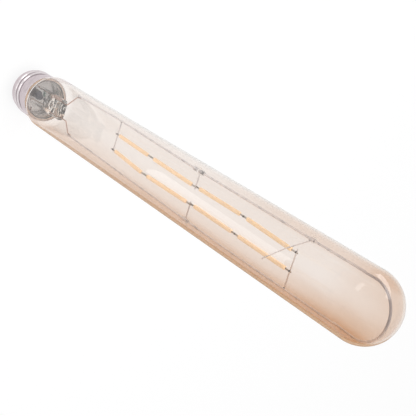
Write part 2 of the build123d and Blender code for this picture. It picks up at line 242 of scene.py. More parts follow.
def bent_wire_tree():
    """Round wire along a chain of edges, its corners bent to the radius kept at each point."""
    graph, given, result = shape_group(
        "Bent wire",
        [
            ("Wire radius", FLOAT, 0.6 * MM), ("Sides", "NodeSocketInt", 16), ("Step", FLOAT, 1.2 * MM),
            ("Waviness", FLOAT, 0.05 * MM),
        ],
    )
    bend = graph.node("GeometryNodeInputNamedAttribute", data_type="FLOAT")
    bend.inputs["Name"].default_value = "bend"
    path = graph.fed("GeometryNodeMeshToCurve", Mesh=given["Geometry"])
    arcs = graph.node("GeometryNodeFilletCurve", mode="POLY")
    graph.feed(arcs, Curve=path, Count=24, Radius=bend.outputs["Attribute"], Limit_Radius=True)
    even = graph.node("GeometryNodeResampleCurve", mode="LENGTH")
    graph.feed(even, Curve=arcs.outputs[0], Length=given["Step"])
    ripple = graph.fed("ShaderNodeTexNoise", Scale=28.0, Detail=1.0)
    centred = graph.spaced("SUBTRACT", ripple.node.outputs["Color"], (0.5, 0.5, 0.5))
    shift = graph.spaced("SCALE", centred, given["Waviness"])
    wavy = graph.fed("GeometryNodeSetPosition", Geometry=even.outputs[0], Offset=shift)
    ring = graph.node("GeometryNodeCurvePrimitiveCircle", mode="RADIUS")
    graph.feed(ring, Resolution=given["Sides"], Radius=given["Wire radius"])
    tube = graph.fed("GeometryNodeCurveToMesh", Curve=wavy, Profile_Curve=ring.outputs[0], Fill_Caps=True)
    around = graph.node("GeometryNodeInputMeshFaceNeighbors")
    side = graph.node("FunctionNodeCompare", data_type="INT", operation="EQUAL")
    graph.put(side.inputs[2], around.outputs["Vertex Count"])
    side.inputs[3].default_value = 4
    round_side = graph.fed("GeometryNodeSetShadeSmooth", Geometry=tube, Selection=side.outputs[0])
    return close_shape(graph, given, result, round_side)


def filament_coat_tree():
    """Crowned bar of silicone from one point to another, its ends rounded and its sides a little lumpy."""
    graph, given, result = shape_group(
        "Filament coat",
        [
            ("Start", VECTOR, (0.0, 0.0, 0.0)), ("End", VECTOR, (0.0, 0.0, 0.03)), ("Width", FLOAT, 1.5 * MM),
            ("Depth", FLOAT, 1.3 * MM), ("End length", FLOAT, 0.5 * MM), ("Lumps", FLOAT, 0.05),
            ("Seed", FLOAT, 0.0),
        ],
    )
    grid = graph.fed("GeometryNodeMeshGrid", Size_X=1.0, Size_Y=1.0, Vertices_X=25, Vertices_Y=90)
    place = graph.node("GeometryNodeInputPosition")
    across, along, _ = graph.parts(place.outputs[0])
    angle = graph.times(across, tau)
    share = graph.sum("MULTIPLY_ADD", graph.sum("SINE", graph.times(along, pi)), 0.5, 0.5)
    run = graph.spaced("DISTANCE", given["Start"], given["End"])
    nearest = graph.sum("MINIMUM", share, graph.minus(1.0, share))
    from_end = graph.times(nearest, run)
    depth_in = graph.sum("DIVIDE", from_end, given["End length"], clamp=True)
    short = graph.minus(1.0, depth_in)
    dome = graph.sum("SQRT", graph.sum("MAXIMUM", 0.0, graph.minus(1.0, graph.sum("POWER", short, 2.5))))
    lump = graph.node("ShaderNodeTexNoise", noise_dimensions="4D")
    graph.feed(lump, Vector=graph.vector(graph.sum("COSINE", angle), graph.sum("SINE", angle), from_end))
    graph.feed(lump, W=given["Seed"], Scale=1.6, Detail=2.0)
    along_lump = graph.node("ShaderNodeTexNoise", noise_dimensions="2D")
    graph.feed(along_lump, Vector=graph.vector(graph.times(share, 26.0), given["Seed"], 0.0), Scale=1.0)
    both = graph.plus(lump.outputs["Fac"], along_lump.outputs["Fac"])
    swell = graph.sum("MULTIPLY_ADD", graph.minus(both, 1.25), given["Lumps"], 1.0)
    scale = graph.times(dome, swell)

    def squared(wave):
        """Side of a rounded box: the wave raised towards its limits."""
        return graph.times(graph.sum("SIGN", wave), graph.sum("POWER", graph.sum("ABSOLUTE", wave), 0.62))

    half_width = graph.times(given["Width"], 0.5)
    half_depth = graph.times(given["Depth"], 0.5)
    side = graph.times(squared(graph.sum("COSINE", angle)), half_width, scale)
    front = graph.times(squared(graph.sum("SINE", angle)), half_depth, scale)
    centre = graph.node("ShaderNodeMix", data_type="VECTOR")
    for index, value in ((0, share), (4, given["Start"]), (5, given["End"])):
        graph.put(centre.inputs[index], value)
    moved = graph.spaced("ADD", centre.outputs[1], graph.vector(side, front, 0.0))
    bar = graph.fed("GeometryNodeSetPosition", Geometry=grid, Position=moved)
    merged = graph.fed("GeometryNodeMergeByDistance", Geometry=bar, Distance=0.002 * MM)
    soft = graph.fed("GeometryNodeSetShadeSmooth", Geometry=merged)
    return close_shape(graph, given, result, soft)


def rolled_thread_tree():
    """Raises a right-hand helical ridge on a turned shell and lets it run out at both ends."""
    graph, given, result = shape_group(
        "Rolled thread",
        [
            ("Pitch", FLOAT, 3.629 * MM), ("Depth", FLOAT, 0.9 * MM), ("First height", FLOAT, 8.0 * MM),
            ("Last height", FLOAT, 16.6 * MM), ("Run-out turns", FLOAT, 0.16),
        ],
    )
    place = graph.node("GeometryNodeInputPosition")
    x, y, z = graph.parts(place.outputs[0])
    angle = graph.sum("WRAP", graph.sum("DIVIDE", graph.sum("ARCTAN2", y, x), tau), 1.0, 0.0)
    rise = graph.sum("DIVIDE", graph.minus(z, given["First height"]), given["Pitch"])
    count = graph.sum("ROUND", graph.minus(rise, angle))
    turn = graph.plus(count, angle)
    off = graph.minus(rise, turn)
    ridge = graph.sum("MULTIPLY_ADD", graph.sum("COSINE", graph.times(off, tau)), 0.5, 0.5)
    span = graph.minus(given["Last height"], given["First height"])
    turns = graph.sum("DIVIDE", span, given["Pitch"])
    run_in = graph.smooth(turn, 0.0, given["Run-out turns"])
    run_out = graph.smooth(turn, graph.minus(turns, given["Run-out turns"]), turns)
    shown = graph.times(run_in, graph.minus(1.0, run_out))
    height = graph.times(ridge, shown, given["Depth"])
    shift = graph.spaced("SCALE", graph.spaced("NORMALIZE", graph.vector(x, y, 0.0)), height)
    # The groove mark lets the cap's finish paint shade into the thread's grooves.
    marked = graph.node("GeometryNodeStoreNamedAttribute", data_type="FLOAT", domain="POINT")
    marked.inputs["Name"].default_value = "groove"
    root = graph.times(graph.minus(1.0, ridge), shown)
    graph.feed(marked, Geometry=given["Geometry"], Value=root)
    threaded = graph.fed("GeometryNodeSetPosition", Geometry=marked.outputs[0], Offset=shift)
    soft = graph.fed("GeometryNodeSetShadeSmooth", Geometry=threaded)
    return close_shape(graph, given, result, soft)


def spots_tree():
    """Small flattened drops of metal on a set of points, each turned and sized a little differently."""
    graph, given, result = shape_group(
        "Metal spots",
        [
            ("Spot radius", FLOAT, 0.5 * MM), ("Flatness", FLOAT, 0.7), ("Spread", FLOAT, 0.2),
            ("Seed", "NodeSocketInt", 0),
        ],
    )
    drop = graph.fed("GeometryNodeMeshIcoSphere", Radius=given["Spot radius"], Subdivisions=3)
    soft = graph.fed("GeometryNodeSetShadeSmooth", Geometry=drop)
    turned = graph.node("FunctionNodeRandomValue", data_type="FLOAT_VECTOR")
    turned.inputs[0].default_value = (-0.4, -0.4, 0.0)
    turned.inputs[1].default_value = (0.4, 0.4, tau)
    graph.put(turned.inputs["Seed"], given["Seed"])
    rotation = graph.node("FunctionNodeEulerToRotation")
    graph.put(rotation.inputs[0], turned.outputs[0])
    size = graph.node("FunctionNodeRandomValue", data_type="FLOAT")
    graph.put(size.inputs[2], graph.minus(1.0, given["Spread"]))
    size.inputs[3].default_value = 1.0
    graph.put(size.inputs["Seed"], given["Seed"])
    scale = graph.spaced("SCALE", graph.vector(1.0, 1.0, given["Flatness"]), size.outputs[1])
    placed = graph.node("GeometryNodeInstanceOnPoints")
    graph.feed(placed, Points=given["Geometry"], Instance=soft, Rotation=rotation.outputs[0], Scale=scale)
    return close_shape(graph, given, result, placed.outputs[0])


def grow(obj, name, build, finish, **values):
    """Puts a geometry tree and a finish on an object, its inputs given by name with _ for a space."""
    modifier = obj.modifiers.new(name, "NODES")
    tree = kept_tree(name, build)
    modifier.node_group = tree
    values = {key.replace("_", " "): value for key, value in values.items()} | {"Material": finish_of(finish)}
    for socket in tree.interface.items_tree:
        if socket.item_type == "SOCKET" and socket.in_out == "INPUT" and socket.name in values:
            modifier[socket.identifier] = values[socket.name]


def kept_tree(name, build):
    """The node group of that name, built once."""
    return bpy.data.node_groups.get(name) or build()


def settle(obj):
    """Turns an object and its modifiers into one plain mesh."""
    bpy.context.view_layer.update()
    graph = bpy.context.evaluated_depsgraph_get()
    mesh = bpy.data.meshes.new_from_object(obj.evaluated_get(graph))
    mesh.name = obj.name
    obj.modifiers.clear()
    obj.data = mesh


# Meshes

def new_object(name, points, edges, faces):
    """Object at the origin with a mesh given in millimetres."""
    mesh = bpy.data.meshes.new(name)
    mesh.from_pydata([Vector(p) * MM for p in points], edges, faces)
    mesh.update()
    obj = bpy.data.objects.new(name, mesh)
    bpy.context.scene.collection.objects.link(obj)
    return obj


def finish_piece(obj, finish, nodes):
    """Makes a piece plain mesh, gives it its finish and slot, and lets it stand for its solids."""
    if obj.modifiers:
        settle(obj)
    if not obj.data.materials:
        obj.data.materials.append(finish_of(finish))
    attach(obj, "root")
    if nodes:
        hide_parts(*nodes)


def turned_size(node):
    """Radius, foot and top of a round solid in millimetres."""
    low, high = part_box(node)
    return high.x / MM, low.z / MM, high.z / MM


def rounded(corners, steps=8):
    """Profile of (r, z) through corners of (r, z, radius), each rounded to its radius."""
    profile = []
    for k, (r, z, bend) in enumerate(corners):
        if bend == 0 or k in (0, len(corners) - 1):
            profile.append((r, z))
            continue
        here = Vector((r, z))
        back = (Vector(corners[k - 1][:2]) - here).normalized()
        on = (Vector(corners[k + 1][:2]) - here).normalized()
        half = back.angle(on) / 2
        centre = here + (back + on).normalized() * (bend / sin(half))
        first = here + back * (bend / tan(half)) - centre
        last = here + on * (bend / tan(half)) - centre
        angle = atan2(first.y, first.x)
        sweep = (atan2(last.y, last.x) - angle + pi) % tau - pi
        for s in range(steps + 1):
            at = angle + sweep * s / steps
            profile.append((centre.x + bend * cos(at), centre.y + bend * sin(at)))
    return profile


def divided(profile, step):
    """The same profile with no stretch longer than step."""
    fine = [profile[0]]
    for (r0, z0), (r1, z1) in zip(profile, profile[1:]):
        count = max(1, round(sqrt((r1 - r0) ** 2 + (z1 - z0) ** 2) / step))
        fine.extend((r0 + (r1 - r0) * k / count, z0 + (z1 - z0) * k / count) for k in range(1, count + 1))
    return fine


def lofted(sections, around, closed=False):
    """Points and faces through sections of (half x, half y, z, squareness).

    Going up on the outside and down on the inside makes the faces point out of the material.
    """
    points = []
    rings = []
    for half_x, half_y, z, power in sections:
        if half_x < 1e-6:
            rings.append([len(points)] * around)
            points.append((0.0, 0.0, z))
            continue
        rings.append(list(range(len(points), len(points) + around)))
        for k in range(around):
            c = cos(tau * k / around)
            s = sin(tau * k / around)
            x = half_x * abs(c) ** (2 / power) * (1 if c >= 0 else -1)
            y = half_y * abs(s) ** (2 / power) * (1 if s >= 0 else -1)
            points.append((x, y, z))
    faces = []
    pairs = list(zip(rings, rings[1:]))
    if closed:
        pairs.append((rings[-1], rings[0]))
    for low, high in pairs:
        for k in range(around):
            n = (k + 1) % around
            face = list(dict.fromkeys((low[k], low[n], high[n], high[k])))
            if len(face) > 2:
                faces.append(face)
    return points, faces


def turned(name, profile, around, closed=False, sharp=40):
    """Object of revolution with faces smooth up to the sharp angle."""
    points, faces = lofted([(r, r, z, 2.0) for r, z in profile], around, closed)
    obj = new_object(name, points, [], faces)
    obj.data.shade_smooth()
    obj.data.set_sharp_from_angle(angle=radians(sharp))
    return obj


# Finishes

def drawn_metal_group():
    """Drawn or rolled metal: colour with tarnish, roughness and fine height."""
    graph, given, result = new_group(
        "Drawn metal",
        "ShaderNodeTree",
        [
            ("Colour", COLOUR, (0.7, 0.7, 0.7, 1.0)), ("Tarnish", COLOUR, (0.3, 0.28, 0.25, 1.0)),
            ("Tarnish amount", FLOAT, 0.4), ("Grain", VECTOR, (800.0, 800.0, 120.0)), ("Roughness", FLOAT, 0.3),
            ("Grime", FLOAT, 0.0),
        ],
        [("Colour", COLOUR), ("Roughness", FLOAT), ("Height", FLOAT)],
    )
    place = graph.node("ShaderNodeTexCoord").outputs["Object"]
    stretched = graph.spaced("MULTIPLY", place, given["Grain"])
    grain = graph.fed("ShaderNodeTexNoise", Vector=stretched, Scale=1.0, Detail=3.0)
    cloud = graph.fed("ShaderNodeTexNoise", Vector=place, Scale=260.0, Detail=4.0, Roughness=0.6)
    spread = graph.smooth(cloud, 0.42, 0.72)
    dull = graph.times(spread, given["Tarnish amount"])
    # Darkening is painted shade in the cap's thread grooves and a darker stretch of the frame wire's bow.
    amount = graph.sum("MAXIMUM", dull, given["Grime"])
    graph.put(result["Colour"], graph.mixed(amount, given["Colour"], given["Tarnish"]))
    shift = graph.times(graph.minus(grain, 0.5), 0.3)
    rough = graph.plus(given["Roughness"], graph.plus(shift, graph.times(amount, 0.25)))
    graph.put(result["Roughness"], graph.sum("MAXIMUM", rough, 0.05))
    graph.put(result["Height"], grain)
    return graph.tree


def mottled_group():
    """Moulded, baked or cast material: two-tone colour with specks, and height."""
    graph, given, result = new_group(
        "Mottled",
        "ShaderNodeTree",
        [
            ("Colour", COLOUR, (0.5, 0.5, 0.5, 1.0)), ("Second colour", COLOUR, (0.4, 0.4, 0.4, 1.0)),
            ("Amount", FLOAT, 0.5), ("Scale", FLOAT, 900.0),
        ],
        [("Colour", COLOUR), ("Height", FLOAT)],
    )
    place = graph.node("ShaderNodeTexCoord").outputs["Object"]
    coarse = graph.fed("ShaderNodeTexNoise", Vector=place, Scale=given["Scale"], Detail=4.0, Roughness=0.6)
    fine = graph.fed("ShaderNodeTexNoise", Vector=place, Scale=graph.times(given["Scale"], 4.0), Detail=2.0)
    mask = graph.smooth(coarse, 0.35, 0.7)
    amount = graph.times(mask, given["Amount"])
    graph.put(result["Colour"], graph.mixed(amount, given["Colour"], given["Second colour"]))
    height = graph.plus(coarse, graph.times(fine, 0.35))
    graph.put(result["Height"], height)
    return graph.tree


def rgba(value):
    """Colour with full alpha."""
    return (*value, 1.0)


def own(name):
    """Name of a finish of the lamp, apart from the names of the slots."""
    return f"lamp_{name}"


def shaded(name, roughness=0.5, **sockets):
    """Material with one Principled shader; returns it, its graph and the shader."""
    material = bpy.data.materials.new(own(name))
    material.use_nodes = True
    graph = Graph(material.node_tree)
    shader = material.node_tree.nodes["Principled BSDF"]
    graph.feed(shader, Roughness=roughness, **sockets)
    return material, graph, shader


def bumped(graph, shader, height, distance):
    """Lets a height field tilt the shader's normal."""
    bump = graph.fed("ShaderNodeBump", Height=height, Distance=distance, Strength=1.0)
    graph.put(shader.inputs["Normal"], bump)


def grouped(graph, name, build, **values):
    """A shared shader group placed in a material with its own values."""
    made = graph.node("ShaderNodeGroup", node_tree=kept_tree(name, build))
    return graph.feed(made, **values)


def metal(name, base, tarnish, amount, roughness, grain=(800.0, 800.0, 120.0), relief=0.01 * MM):
    """Metal with drawn grain and tarnish; returns the material, its graph and the placed group."""
    material, graph, shader = shaded(name, Metallic=1.0)
    look = grouped(
        graph,
        "Drawn metal",
        drawn_metal_group,
        Colour=rgba(base),
        Tarnish=rgba(tarnish),
        Tarnish_amount=amount,
        Grain=grain,
        Roughness=roughness,
    )
    graph.feed(shader, Base_Color=look.outputs["Colour"], Roughness=look.outputs["Roughness"])
    bumped(graph, shader, look.outputs["Height"], relief)
    return material, graph, look


def cap_metal(finish):
    """Rolled cap metal with painted shade darkening the grooves that the thread's tree marked."""
    _, graph, look = metal("cap_metal", finish.metal, (0.2, 0.15, 0.17), 0.2, 0.18, (120.0, 120.0, 2400.0))
    groove = graph.node("ShaderNodeAttribute", attribute_name="groove")
    graph.feed(look, Grime=graph.times(graph.smooth(groove.outputs["Fac"], 0.35, 0.95), 0.85))


def frame_wire(finish):
    """Nickel wire, darker along its bow at the dome end on the return side."""
    _, graph, look = metal("frame_wire", finish.wire, (0.40, 0.42, 0.5), 0.5, 0.28)
    x, _, z = graph.parts(graph.node("ShaderNodeTexCoord").outputs["Object"])
    bow = graph.times(graph.smooth(z, 268.0 * MM, 290.0 * MM), graph.smooth(x, 7.0 * MM, 1.0 * MM))
    graph.feed(look, Grime=graph.times(bow, 0.7))


def solid(name, base, second, amount, scale, roughness, relief=0.02 * MM):
    """Opaque moulded or baked material."""
    _, graph, shader = shaded(name, roughness)
    look = grouped(
        graph, "Mottled", mottled_group, Colour=rgba(base), Second_colour=rgba(second), Amount=amount, Scale=scale
    )
    graph.feed(shader, Base_Color=look.outputs["Colour"])
    bumped(graph, shader, look.outputs["Height"], relief)


def gold_coat_and_painted_shade(graph):
    """Gold of the coat, deeper towards the dome, with faint streaks along the tube, and painted shade: deeper gold
    towards one side and darker bands along both edges.
    """
    finish = bpy.context.scene.lamp_finish
    place = graph.node("ShaderNodeTexCoord").outputs["Object"]
    x, y, z = graph.parts(place)
    side = graph.plus(graph.times(x, 0.94), graph.times(y, -0.34))
    # Painted shadow: across rises towards one side of the tube, and body deepens the gold there as the lamp's golden
    # shadow seen through the glass; the streaks in it are the coat's own.
    across = graph.smooth(side, -2.0 * MM, 17.0 * MM)
    along = graph.smooth(z, 60.0 * MM, 300.0 * MM)
    stretched = graph.spaced("MULTIPLY", place, (1.0, 1.0, 0.04))
    streak = graph.fed("ShaderNodeTexNoise", Vector=stretched, Scale=420.0, Detail=3.0)
    uneven = graph.sum("MULTIPLY_ADD", streak, 0.5, 0.75)
    depth = graph.sum("MULTIPLY_ADD", along, 0.135, 0.27)
    body = graph.times(across, depth, uneven)
    # Painted edge shade: a darker gold band along the silhouette on that same side, growing towards the dome.
    painted_edge_shade_strength = graph.sum("MULTIPLY_ADD", graph.smooth(z, 60.0 * MM, 170.0 * MM), 0.27, 0.33)
    edge = graph.sum("MULTIPLY_ADD", graph.smooth(side, 8.5 * MM, 14.0 * MM), painted_edge_shade_strength, body)
    # Painted edge shade: rim darkens a band along the opposite edge, towards the dome.
    far = graph.times(side, -1.0)
    rim = graph.times(graph.smooth(far, 8.5 * MM, 12.5 * MM), graph.smooth(z, 170.0 * MM, 250.0 * MM))
    edge = graph.sum("MULTIPLY_ADD", rim, 0.28, edge)
    # end deepens the gold over the dome as a thicker coat; low adds painted shade in tan on the shadow side near the
    # dome.
    low = graph.times(graph.smooth(z, 242.0 * MM, 280.0 * MM), graph.smooth(side, 1.0 * MM, 9.0 * MM))
    end = graph.sum("MAXIMUM", graph.smooth(z, 270.0 * MM, 294.0 * MM), low)
    dome = graph.sum("MULTIPLY_ADD", end, 0.3, edge)
    amount = graph.sum("MULTIPLY_ADD", along, 0.03, dome)
    tube = graph.mixed(amount, rgba(finish.glass), rgba(finish.gold))
    return graph.mixed(graph.smooth(z, 26.0 * MM, 34.0 * MM), (1.0, 1.0, 1.0, 1.0), tube)


def glass(name, tint, absorbed, density, ripple, stretch, relief):
    """Clear glass with a body tint and the faint ripple of drawn glass.

    Light that only falls through it goes straight on, as it does through thin glass.
    """
    material, graph, shader = shaded(name, 0.0, Base_Color=rgba(tint), IOR=1.5, Transmission_Weight=1.0)
    body = graph.fed("ShaderNodeVolumeAbsorption", Color=rgba(absorbed), Density=density)
    graph.show(body, "Volume")
    path = graph.node("ShaderNodeLightPath")
    straight = graph.sum("MAXIMUM", path.outputs["Is Shadow Ray"], path.outputs["Is Diffuse Ray"])
    through = graph.node("ShaderNodeBsdfTransparent")
    graph.show(graph.blended(straight, shader.outputs[0], through.outputs[0]))
    place = graph.node("ShaderNodeTexCoord").outputs["Object"]
    stretched = graph.spaced("MULTIPLY", place, stretch)
    wave = graph.fed("ShaderNodeTexNoise", Vector=stretched, Scale=ripple, Detail=2.0)
    bumped(graph, shader, wave, relief)
    return material, graph, shader


def make_finishes():
    """Makes every material of the lamp."""
    finish = bpy.context.scene.lamp_finish
    _, graph, shader = glass("gold_glass", finish.glass, (0.51, 0.22, 0.0), 60.0, 60.0, (1.0, 1.0, 0.12), 0.006 * MM)
    graph.feed(shader, Base_Color=gold_coat_and_painted_shade(graph))
    glass("clear_glass", (1.0, 1.0, 1.0), (0.75, 0.9, 0.8), 12.0, 160.0, (1.0, 1.0, 0.5), 0.002 * MM)
    cap_metal(finish)
    frame_wire(finish)
    for name, *look in (
        ("contact_metal", (0.78, 0.68, 0.46), (0.42, 0.33, 0.2), 0.5, 0.3, (600.0, 600.0, 600.0)),
        ("solder", (0.72, 0.72, 0.73), (0.4, 0.4, 0.4), 0.4, 0.3, (500.0, 500.0, 500.0), 0.02 * MM),
        ("lead_wire", finish.lead, (0.3, 0.17, 0.13), 0.5, 0.36),
        ("weld", (0.16, 0.15, 0.16), (0.06, 0.055, 0.06), 0.7, 0.45, (900.0, 900.0, 900.0), 0.03 * MM),
        ("strip_metal", (0.55, 0.52, 0.49), (0.3, 0.26, 0.2), 0.5, 0.32),
    ):
        metal(name, *look)
    for name, *look in (
        ("coat", finish.coat, (0.90, 0.62, 0.25), 0.45, 700.0, 0.42, 0.015 * MM),
        ("cement", finish.cement, (0.36, 0.26, 0.19), 0.7, 900.0, 0.85, 0.08 * MM),
        ("black_glass", (0.012, 0.011, 0.014), (0.03, 0.027, 0.03), 0.4, 300.0, 0.12),
        ("board", (0.82, 0.87, 0.92), (0.70, 0.75, 0.80), 0.5, 1600.0, 0.5, 0.01 * MM),
        ("sleeve", (0.02, 0.022, 0.045), (0.035, 0.037, 0.06), 0.4, 500.0, 0.28),
        ("chip", (0.022, 0.022, 0.022), (0.04, 0.04, 0.04), 0.5, 2400.0, 0.55),
        ("resistor", (0.10, 0.22, 0.20), (0.16, 0.28, 0.24), 0.4, 800.0, 0.35),
    ):
        solid(name, *look)


def finish_of(name):
    """A finished material, made with the rest when first asked for."""
    if own(name) not in bpy.data.materials:
        make_finishes()
    return bpy.data.materials[own(name)]


# Operators, one for each piece or group of like pieces

class PieceOperator:
    """What all the operators share."""

    bl_options = {"REGISTER", "UNDO"}

    @staticmethod
    def sizes(context):
        """The scene's lamp sizes."""
        return context.scene.lamp_sizes


class LAMP_OT_envelope(PieceOperator, bpy.types.Operator):
    """Blown glass: neck, shoulder, long tube and dome in one wall"""

    bl_idname = "lamp.envelope"
    bl_label = "Glass envelope"

    def execute(self, context):
        sizes = self.sizes(context)
        radius = sizes.glass_radius / MM
        top = sizes.glass_top / MM
        neck = sizes.neck_radius / MM
        wall = sizes.glass_wall / MM
        foot = glass_low.z / MM

        def side(inset):
            corners = [
                (neck - inset, foot, 0), (neck - inset, 25.6, 1.5 + inset), (radius - inset, 30.4, 4.0 - inset),
                (radius - inset, top - radius, 0),
            ]
            dome = [
                ((radius - inset) * cos(pi / 2 * k / 28), top - radius + (radius - inset) * sin(pi / 2 * k / 28))
                for k in range(1, 28)
            ]
            return [*divided(rounded(corners, 10), 6.0), *dome, (0.0, top - inset)]

        profile = side(0) + side(wall)[::-1]
        bulb = turned("bulb_glass", profile, sizes.around, closed=True)
        finish_piece(bulb, "gold_glass", ["glass_envelope"])
        return {"FINISHED"}


# Stem: radius of its tube, half sizes and squareness of its press, where the press starts, its rise and edge
STEM_RADIUS = 5.6
PRESS_HALF_X = 5.8
PRESS_HALF_Y = 2.3
PRESS_SQUARE = 3.8
PRESS_START = 33.0
PRESS_RISE = 4.8
PRESS_FULL = 37.8
PRESS_EDGE = 0.9


class LAMP_OT_stem(PieceOperator, bpy.types.Operator):
    """Glass stem: flare, tube, flat press and sealed exhaust tube"""

    bl_idname = "lamp.stem"
    bl_label = "Glass stem"

    def execute(self, context):
        rim, foot, top = turned_size("glass_stem")
        tip = [(0.0, 24.0), (0.7, 24.1), (1.4, 24.7), (1.9, 25.7), (2.0, 27.0)]
        exhaust = [*tip, (2.0, 34.6), (2.2, 35.4), (2.8, 35.6)]
        inner = rounded([(3.6, 35.3, 0), (4.8, 33.4, 1.5), (4.8, foot, 5.8), (rim, foot, 0)], 10)
        outer = rounded([(rim, foot + 0.8, 0), (STEM_RADIUS, foot + 0.8, 5.0), (STEM_RADIUS, PRESS_START, 0)], 10)
        sections = [(r, r, z, 2.0) for r, z in exhaust + inner + outer]
        for k in range(1, 13):
            ease = k / 12 * k / 12 * (3 - 2 * k / 12)
            half_x, half_y = STEM_RADIUS + 0.2 * ease, STEM_RADIUS - 3.3 * ease
            sections.append((half_x, half_y, PRESS_START + PRESS_RISE * k / 12, 2.0 + 1.8 * ease))
        for k in range(1, 6):
            z = PRESS_FULL + (top - PRESS_EDGE - PRESS_FULL) * k / 5
            sections.append((PRESS_HALF_X, PRESS_HALF_Y, z, PRESS_SQUARE))
        for k in range(1, 7):
            shrink = PRESS_EDGE * (1 - cos(pi / 2 * k / 6))
            z = top - PRESS_EDGE + PRESS_EDGE * sin(pi / 2 * k / 6)
            sections.append((PRESS_HALF_X - shrink, PRESS_HALF_Y - shrink, z, PRESS_SQUARE))
        sections.append((0.0, 0.0, top, 2.0))
        points, faces = lofted(sections, 72)
        bore = [(0.0, 40.6), (0.8, 40.3), (1.2, 39.6), (1.2, 26.0), (0.8, 25.2), (0.0, 24.9)]
        hollow, hollow_faces = lofted([(r, r, z, 2.0) for r, z in bore], 72)
        count = len(points)
        points += hollow
        faces += [[index + count for index in face] for face in hollow_faces]
        stem = new_object("stem_glass", points, [], faces)
        stem.data.shade_smooth()
        stem.data.set_sharp_from_angle(angle=radians(50))
        finish_piece(stem, "clear_glass", ["glass_stem"])
        return {"FINISHED"}


# Cap shell: hole in its lip, radius between the ridges, and the foot and top of its step
LIP_HOLE = 10.55
THREAD_ROOT = 12.25
STEP_LOW = 18.2
STEP_HIGH = 19.2


class LAMP_OT_cap(PieceOperator, bpy.types.Operator):
    """Screw cap shell with its rolled thread, step and skirt"""

    bl_idname = "lamp.cap"
    bl_label = "Cap shell"

    def execute(self, context):
        sizes = self.sizes(context)
        skirt, foot, top = turned_size("cap_shell")
        corners = [
            (LIP_HOLE, foot, 0), (THREAD_ROOT, foot, 0.6), (THREAD_ROOT, STEP_LOW, 0.45),
            (skirt, STEP_HIGH, 0.45), (skirt, top, 0),
        ]
        profile = divided(rounded(corners, 6), 0.16)
        points, faces = lofted([(r, r, z, 2.0) for r, z in profile], sizes.around)
        cap = new_object("cap_threaded_shell", points, [], faces)
        cap.data.shade_smooth()
        thread = {"Pitch": sizes.thread_pitch, "Depth": sizes.thread_depth}
        grow(cap, "Rolled thread", rolled_thread_tree, "cap_metal", **thread)
        sheet = cap.modifiers.new("Sheet", "SOLIDIFY")
        sheet.thickness = sizes.cap_sheet
        sheet.offset = -1.0
        finish_piece(cap, "cap_metal", ["cap_shell"])
        return {"FINISHED"}


class LAMP_OT_cap_end(PieceOperator, bpy.types.Operator):
    """Cement ring, black insulator and riveted contact"""

    bl_idname = "lamp.cap_end"
    bl_label = "Cement, insulator and contact"

    def execute(self, context):
        around = self.sizes(context).around
        low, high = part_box("basing_cement")
        outer = high.x / MM
        inner = self.sizes(context).neck_radius / MM + 0.02
        ring = rounded(
            [
                (inner + 0.2, low.z / MM, 0), (outer, low.z / MM, 0.2), (outer, high.z / MM, 0.25),
                (inner, high.z / MM, 0.3), (inner, low.z / MM, 0.2),
            ],
            5,
        )
        cement = turned("cement_ring", divided(ring, 0.4), around, closed=True, sharp=180)
        for vertex in cement.data.vertices:
            lump = noise.noise(vertex.co * 420.0) * 0.5 + noise.noise(vertex.co * 1300.0) * 0.25
            if vertex.co.z > (high.z + low.z) / 2:
                vertex.co.z += (lump - 0.45) * 0.28 * MM
        finish_piece(cement, "cement", ["basing_cement"])

        rim, _, top = turned_size("cap_insulator")
        bore = 1.2
        body = rounded(
            [
                (bore, 1.0, 0), (5.0, 1.0, 0.1), (5.9, 1.0, 0.35), (10.5, 5.6, 0.5), (10.5, 6.36, 0),
                (rim, 6.36, 0.1), (rim, top, 0.2), (rim - 1.4, top, 0.2), (rim - 1.4, 7.0, 0.3), (bore, 7.0, 0),
            ],
            6,
        )
        insulator = turned("cap_insulator_glass", body, around, closed=True)
        finish_piece(insulator, "black_glass", ["cap_insulator"])

        _, _, shank_top = turned_size("centre_contact")
        disc = rounded(
            [
                (0.0, 0.0, 0), (1.9, 0.0, 0.5), (2.3, 0.28, 0.3), (3.6, 0.28, 0.3), (3.8, 0.04, 0.2),
                (4.5, 0.04, 0.3), (4.8, 0.45, 0.2), (4.8, 1.0, 0.1), (bore - 0.02, 1.0, 0.2),
                (bore - 0.02, shank_top, 0.3), (0.0, shank_top, 0),
            ],
            6,
        )
        contact = turned("contact_disc", disc, around)
        finish_piece(contact, "contact_metal", ["centre_contact"])
        return {"FINISHED"}


